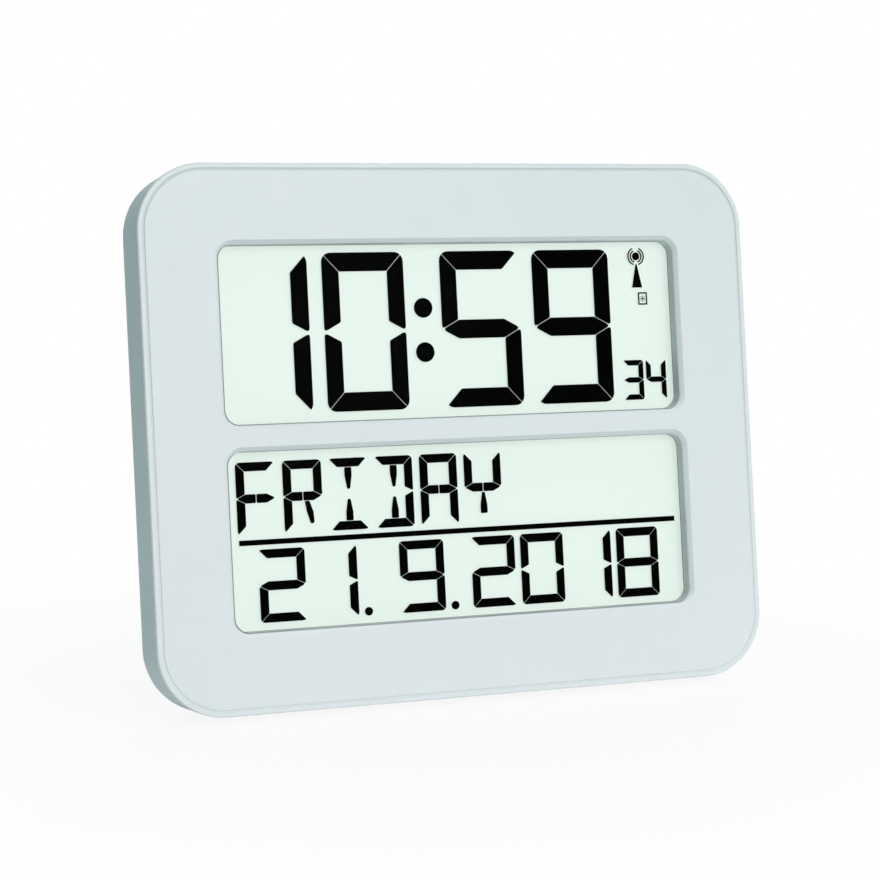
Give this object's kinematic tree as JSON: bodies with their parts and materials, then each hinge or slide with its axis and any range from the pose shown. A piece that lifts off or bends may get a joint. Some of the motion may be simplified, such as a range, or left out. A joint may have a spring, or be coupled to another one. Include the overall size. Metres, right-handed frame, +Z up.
{
  "type": "day clock",
  "caption": "Rounded slab clock leaning back on a fold-out leg, with two recessed windows for large time, day and date figures and setting keys on its back.",
  "frame": {"origin": "on the floor at the centre of the footprint, from the front edge to the tip of the open leg", "axes": "+Z up, +X to the viewer's right, the display faces -Y and leans back by 7.76 degrees"},
  "size_m": [0.225, 0.0864, 0.1856],
  "materials": {
    "frame_plastic": "fine matt moulded plastic, pale cool grey",
    "cover_plastic": "matt moulded plastic, mid grey",
    "key_plastic": "matt moulded plastic, darker grey",
    "display_glass": "thin flat glass with a matt polariser",
    "display_figures": "black lit segments",
    "display_ground": "pale mint reflecting film",
    "seal_resin": "cured resin line",
    "foam": "closed-cell foam",
    "zebra_rubber": "layered conducting rubber",
    "circuit_board": "green lacquered glass-fibre board",
    "switch_metal": "drawn steel can",
    "spring_steel": "nickel-plated spring steel",
    "screw_steel": "zinc-plated steel",
    "black_plastic": "black moulded plastic and resin",
    "ribbon_film": "flexible flat cable",
    "wire_insulation": "insulated wire",
    "cell_wrap": "plain printed film, bare metal ends",
    "ferrite": "sintered ferrite",
    "copper_wire": "enamelled copper winding"
  },
  "bodies": {
    "case": {"front_frame": "frame_plastic", "rear_cover": "cover_plastic", "battery_upper": "cell_wrap", "battery_lower": "cell_wrap", "battery_springs": "spring_steel", "terminal_upper": "spring_steel", "terminal_lower": "spring_steel", "terminal_bridge": "spring_steel", "battery_leads": "wire_insulation", "key_board": "circuit_board", "key_switches": "switch_metal", "key_board_screws": "screw_steel", "key_ribbon": "ribbon_film", "time_glass_front": "display_glass", "time_glass_back": "display_glass", "time_seal": "seal_resin", "time_figures": "display_figures", "time_reflector": "display_ground", "time_pad": "foam", "time_zebra": "zebra_rubber", "date_glass_front": "display_glass", "date_glass_back": "display_glass", "date_seal": "seal_resin", "date_figures": "display_figures", "date_reflector": "display_ground", "date_pad": "foam", "date_zebra": "zebra_rubber", "main_board": "circuit_board", "board_parts": "black_plastic", "quartz_crystal": "switch_metal", "board_screws": "screw_steel", "receiver_board": "circuit_board", "receiver_header": "black_plastic", "antenna_rod": "ferrite", "antenna_coil": "copper_wire", "antenna_leads": "wire_insulation", "housing_screws": "screw_steel"},
    "stand": {"stand": "cover_plastic"},
    "battery_door": {"battery_door": "cover_plastic"},
    "key_mode": {"button_mode": "key_plastic", "plunger_mode": "black_plastic"},
    "key_set": {"button_set": "key_plastic", "plunger_set": "black_plastic"},
    "key_plus": {"button_plus": "key_plastic", "plunger_plus": "black_plastic"},
    "key_minus": {"button_minus": "key_plastic", "plunger_minus": "black_plastic"}
  },
  "joints": [
    {"name": "stand_fold", "type": "hinge", "parent": "case", "child": "stand", "pos_m": [0, -0.01329, 0.01648], "axis": [1, 0, 0], "range_deg": [0, 97.22]},
    {"name": "door_open", "type": "hinge", "parent": "case", "child": "battery_door", "pos_m": [0, -0.00323, 0.08737], "axis": [-1, 0, 0], "range_deg": [0, 60]},
    {"name": "mode_press", "type": "slide", "parent": "case", "child": "key_mode", "axis": [0, -0.9908, 0.135], "range_m": [0, 0.0006], "stiffness_N_per_m": 1200, "springref_m": -0.0005},
    {"name": "set_press", "type": "slide", "parent": "case", "child": "key_set", "axis": [0, -0.9908, 0.135], "range_m": [0, 0.0006], "stiffness_N_per_m": 1200, "springref_m": -0.0005},
    {"name": "plus_press", "type": "slide", "parent": "case", "child": "key_plus", "axis": [0, -0.9908, 0.135], "range_m": [0, 0.0006], "stiffness_N_per_m": 1200, "springref_m": -0.0005},
    {"name": "minus_press", "type": "slide", "parent": "case", "child": "key_minus", "axis": [0, -0.9908, 0.135], "range_m": [0, 0.0006], "stiffness_N_per_m": 1200, "springref_m": -0.0005}
  ]
}
